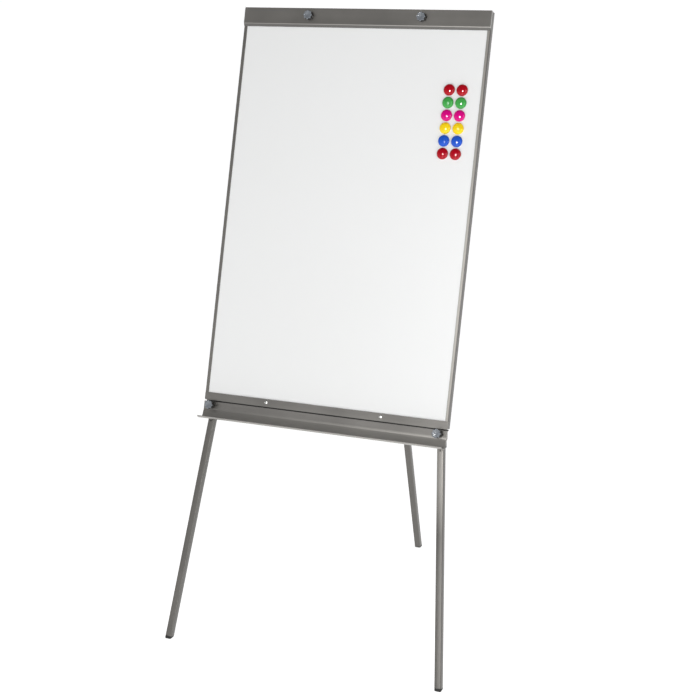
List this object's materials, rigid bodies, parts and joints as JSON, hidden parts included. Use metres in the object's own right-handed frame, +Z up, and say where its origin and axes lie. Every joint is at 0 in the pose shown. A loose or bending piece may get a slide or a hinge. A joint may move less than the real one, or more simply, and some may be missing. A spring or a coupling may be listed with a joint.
{
  "type": "flipchart easel",
  "caption": "Free-standing flipchart easel: magnetic whiteboard with a clamp bar and pen tray on telescopic tripod legs, with magnets on the board.",
  "frame": {"origin": "on the floor, in the middle of the box around the three feet", "axes": "+X along the board to the viewer's right, +Y from the writing side to the back, +Z up"},
  "size_m": [0.8058, 0.923, 1.6804],
  "materials": {
    "white_enamel": "gloss",
    "board_core": "matt",
    "zinc_sheet": "satin",
    "frame_paint": "satin",
    "tray_paint": "satin",
    "leg_paint": "satin",
    "zinc": "bright zinc plated",
    "black_plastic": "matt",
    "knob_face": "satin",
    "foot_rubber": "matt",
    "pad_nylon": "satin",
    "magnet_red": "gloss",
    "magnet_green": "gloss",
    "magnet_pink": "gloss",
    "magnet_yellow": "gloss",
    "magnet_blue": "gloss"
  },
  "bodies": {
    "board": {"board_face_sheet": "white_enamel", "board_core": "board_core", "board_back_sheet": "zinc_sheet", "side_frame_left": "frame_paint", "side_frame_right": "frame_paint", "top_rail": "frame_paint", "bottom_rail": "frame_paint", "rail_screws": "zinc", "pad_studs": "zinc", "pen_tray": "tray_paint", "tray_bracket_left": "frame_paint", "tray_bracket_right": "frame_paint", "threaded_bosses": "zinc", "leg_tube_left": "leg_paint", "leg_tube_right": "leg_paint", "tube_collars": "black_plastic", "crossbar": "frame_paint", "frame_bolts": "zinc", "hinge_bracket": "frame_paint", "hinge_bolt": "zinc", "hinge_nut": "zinc"},
    "clamp_bar": {"clamp_bar": "frame_paint"},
    "clamp_knob_left": {"clamp_knob_left": "black_plastic", "clamp_knob_left_cap": "knob_face"},
    "clamp_knob_right": {"clamp_knob_right": "black_plastic", "clamp_knob_right_cap": "knob_face"},
    "front_leg_left": {"front_leg_left": "leg_paint", "foot_left": "foot_rubber"},
    "leg_pad_left": {"leg_pad_left": "pad_nylon"},
    "leg_knob_left": {"leg_knob_left": "black_plastic", "leg_knob_left_cap": "knob_face", "leg_knob_left_stud": "zinc"},
    "front_leg_right": {"front_leg_right": "leg_paint", "foot_right": "foot_rubber"},
    "leg_pad_right": {"leg_pad_right": "pad_nylon"},
    "leg_knob_right": {"leg_knob_right": "black_plastic", "leg_knob_right_cap": "knob_face", "leg_knob_right_stud": "zinc"},
    "rear_tube": {"rear_leg_tube": "leg_paint", "rear_boss": "zinc", "rear_collar": "black_plastic"},
    "rear_leg": {"rear_leg": "leg_paint", "foot_rear": "foot_rubber"},
    "rear_pad": {"rear_pad": "pad_nylon"},
    "rear_knob": {"rear_knob": "black_plastic", "rear_knob_cap": "knob_face", "rear_knob_stud": "zinc"},
    "magnet_1_left": {"magnet_1_left": "magnet_red"},
    "magnet_2_left": {"magnet_2_left": "magnet_green"},
    "magnet_3_left": {"magnet_3_left": "magnet_pink"},
    "magnet_4_left": {"magnet_4_left": "magnet_yellow"},
    "magnet_5_left": {"magnet_5_left": "magnet_blue"},
    "magnet_6_left": {"magnet_6_left": "magnet_red"},
    "magnet_1_right": {"magnet_1_right": "magnet_red"},
    "magnet_2_right": {"magnet_2_right": "magnet_green"},
    "magnet_3_right": {"magnet_3_right": "magnet_pink"},
    "magnet_4_right": {"magnet_4_right": "magnet_yellow"},
    "magnet_5_right": {"magnet_5_right": "magnet_blue"},
    "magnet_6_right": {"magnet_6_right": "magnet_red"}
  },
  "joints": [
    {"name": "clamp_bar_open", "type": "slide", "parent": "board", "child": "clamp_bar", "axis": [0, -0.9636, 0.2672], "range_m": [0, 0.008]},
    {"name": "clamp_knob_left_turn", "type": "hinge", "parent": "clamp_bar", "child": "clamp_knob_left", "pos_m": [-0.156, -0.02236, 1.66019], "axis": [0, -0.9636, 0.2672], "range_deg": [0, 2880]},
    {"name": "clamp_knob_right_turn", "type": "hinge", "parent": "clamp_bar", "child": "clamp_knob_right", "pos_m": [0.164, -0.02236, 1.66019], "axis": [0, -0.9636, 0.2672], "range_deg": [0, 2880]},
    {"name": "front_leg_left_slide", "type": "slide", "parent": "board", "child": "front_leg_left", "axis": [-0.1011, -0.2659, -0.9587], "range_m": [-0.56, 0.18]},
    {"name": "leg_pad_left_slide", "type": "slide", "parent": "board", "child": "leg_pad_left", "axis": [0, -0.9636, 0.2672], "range_m": [0, 0.002]},
    {"name": "leg_knob_left_turn", "type": "hinge", "parent": "leg_pad_left", "child": "leg_knob_left", "pos_m": [-0.32721, -0.30107, 0.6365], "axis": [0, -0.9636, 0.2672], "range_deg": [0, 720]},
    {"name": "front_leg_right_slide", "type": "slide", "parent": "board", "child": "front_leg_right", "axis": [0.1011, -0.2659, -0.9587], "range_m": [-0.56, 0.18]},
    {"name": "leg_pad_right_slide", "type": "slide", "parent": "board", "child": "leg_pad_right", "axis": [0, -0.9636, 0.2672], "range_m": [0, 0.002]},
    {"name": "leg_knob_right_turn", "type": "hinge", "parent": "leg_pad_right", "child": "leg_knob_right", "pos_m": [0.32721, -0.30107, 0.6365], "axis": [0, -0.9636, 0.2672], "range_deg": [0, 720]},
    {"name": "rear_leg_fold", "type": "hinge", "parent": "board", "child": "rear_tube", "pos_m": [0, 0.0044, 1.53031], "axis": [-1, 0, 0], "range_deg": [0, 30]},
    {"name": "rear_leg_slide", "type": "slide", "parent": "rear_tube", "child": "rear_leg", "axis": [0, 0.2808, -0.9598], "range_m": [-0.56, 0.18]},
    {"name": "rear_pad_slide", "type": "slide", "parent": "rear_tube", "child": "rear_pad", "axis": [0, 0.9598, 0.2808], "range_m": [0, 0.002]},
    {"name": "rear_knob_turn", "type": "hinge", "parent": "rear_pad", "child": "rear_knob", "pos_m": [0, 0.30121, 0.60127], "axis": [0, 0.9598, 0.2808], "range_deg": [0, 720]},
    {"name": "magnet_1_left_lift", "type": "slide", "parent": "board", "child": "magnet_1_left", "axis": [0, -0.9636, 0.2672], "range_m": [0, 0.03]},
    {"name": "magnet_2_left_lift", "type": "slide", "parent": "board", "child": "magnet_2_left", "axis": [0, -0.9636, 0.2672], "range_m": [0, 0.03]},
    {"name": "magnet_3_left_lift", "type": "slide", "parent": "board", "child": "magnet_3_left", "axis": [0, -0.9636, 0.2672], "range_m": [0, 0.03]},
    {"name": "magnet_4_left_lift", "type": "slide", "parent": "board", "child": "magnet_4_left", "axis": [0, -0.9636, 0.2672], "range_m": [0, 0.03]},
    {"name": "magnet_5_left_lift", "type": "slide", "parent": "board", "child": "magnet_5_left", "axis": [0, -0.9636, 0.2672], "range_m": [0, 0.03]},
    {"name": "magnet_6_left_lift", "type": "slide", "parent": "board", "child": "magnet_6_left", "axis": [0, -0.9636, 0.2672], "range_m": [0, 0.03]},
    {"name": "magnet_1_right_lift", "type": "slide", "parent": "board", "child": "magnet_1_right", "axis": [0, -0.9636, 0.2672], "range_m": [0, 0.03]},
    {"name": "magnet_2_right_lift", "type": "slide", "parent": "board", "child": "magnet_2_right", "axis": [0, -0.9636, 0.2672], "range_m": [0, 0.03]},
    {"name": "magnet_3_right_lift", "type": "slide", "parent": "board", "child": "magnet_3_right", "axis": [0, -0.9636, 0.2672], "range_m": [0, 0.03]},
    {"name": "magnet_4_right_lift", "type": "slide", "parent": "board", "child": "magnet_4_right", "axis": [0, -0.9636, 0.2672], "range_m": [0, 0.03]},
    {"name": "magnet_5_right_lift", "type": "slide", "parent": "board", "child": "magnet_5_right", "axis": [0, -0.9636, 0.2672], "range_m": [0, 0.03]},
    {"name": "magnet_6_right_lift", "type": "slide", "parent": "board", "child": "magnet_6_right", "axis": [0, -0.9636, 0.2672], "range_m": [0, 0.03]}
  ],
  "couplings": [
    {"joint": "clamp_knob_left_turn", "follows": "clamp_bar_open", "rad_per_m": 6283.2},
    {"joint": "clamp_knob_right_turn", "follows": "clamp_bar_open", "rad_per_m": 6283.2},
    {"joint": "leg_knob_left_turn", "follows": "leg_pad_left_slide", "rad_per_m": 6283.2},
    {"joint": "leg_knob_right_turn", "follows": "leg_pad_right_slide", "rad_per_m": 6283.2},
    {"joint": "rear_knob_turn", "follows": "rear_pad_slide", "rad_per_m": 6283.2}
  ]
}
